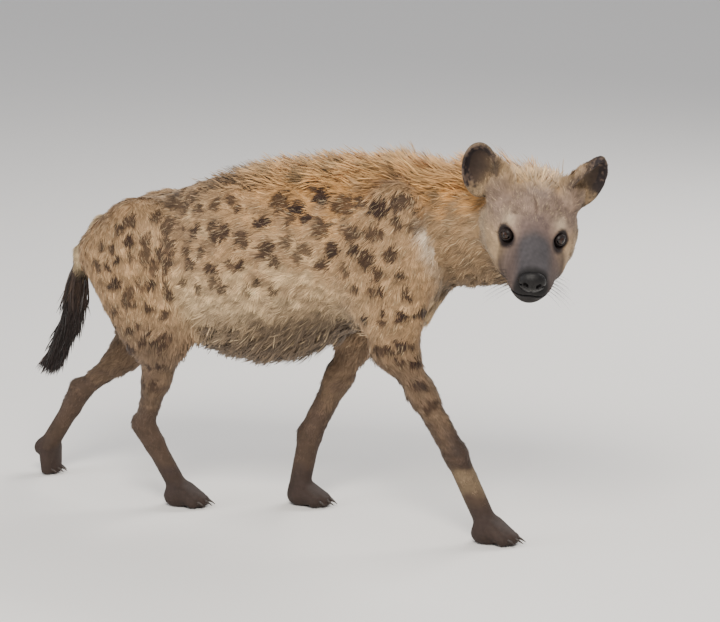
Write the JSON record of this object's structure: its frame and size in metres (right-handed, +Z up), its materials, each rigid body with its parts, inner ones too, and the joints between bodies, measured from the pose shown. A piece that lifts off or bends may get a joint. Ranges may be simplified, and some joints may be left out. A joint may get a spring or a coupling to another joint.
{
  "type": "spotted hyena",
  "caption": "Life-size still model of a walking spotted hyena with its head turned to its right, a bristly mane and a brush-tipped tail.",
  "frame": {"origin": "on the floor, at the centre of the box round the whole animal", "axes": "+X towards the chest, +Y to the animal's left, +Z up"},
  "size_m": [1.378, 0.4334, 0.8233],
  "materials": {
    "body_coat": "short rough fur, buff with dark brown spots",
    "neck_coat": "longer golden fur",
    "head_coat": "short grey-brown fur",
    "ear_coat": "short dark fur with pale rims",
    "tail_coat": "short buff fur",
    "brush_coat": "long black hair",
    "leg_coat": "short grey-brown fur with dark spots",
    "shank_coat": "short dark brown fur",
    "paw_coat": "short dark fur",
    "nose_pad": "moist black skin",
    "eye": "glossy dark brown",
    "claw": "dark horn",
    "whisker": "stiff dark hair"
  },
  "bodies": {
    "root": {"ear_left": "ear_coat", "ear_right": "ear_coat", "eye_left": "eye", "eye_right": "eye", "fore_left_lower": "shank_coat", "fore_left_paw": "paw_coat", "fore_left_upper": "leg_coat", "fore_right_lower": "shank_coat", "fore_right_paw": "paw_coat", "fore_right_upper": "leg_coat", "head": "head_coat", "hind_left_lower": "shank_coat", "hind_left_paw": "paw_coat", "hind_left_upper": "leg_coat", "hind_right_lower": "shank_coat", "hind_right_paw": "paw_coat", "hind_right_upper": "leg_coat", "neck": "neck_coat", "nose": "nose_pad", "tail_brush": "brush_coat", "tail_root": "tail_coat", "torso": "body_coat"}
  },
  "joints": []
}
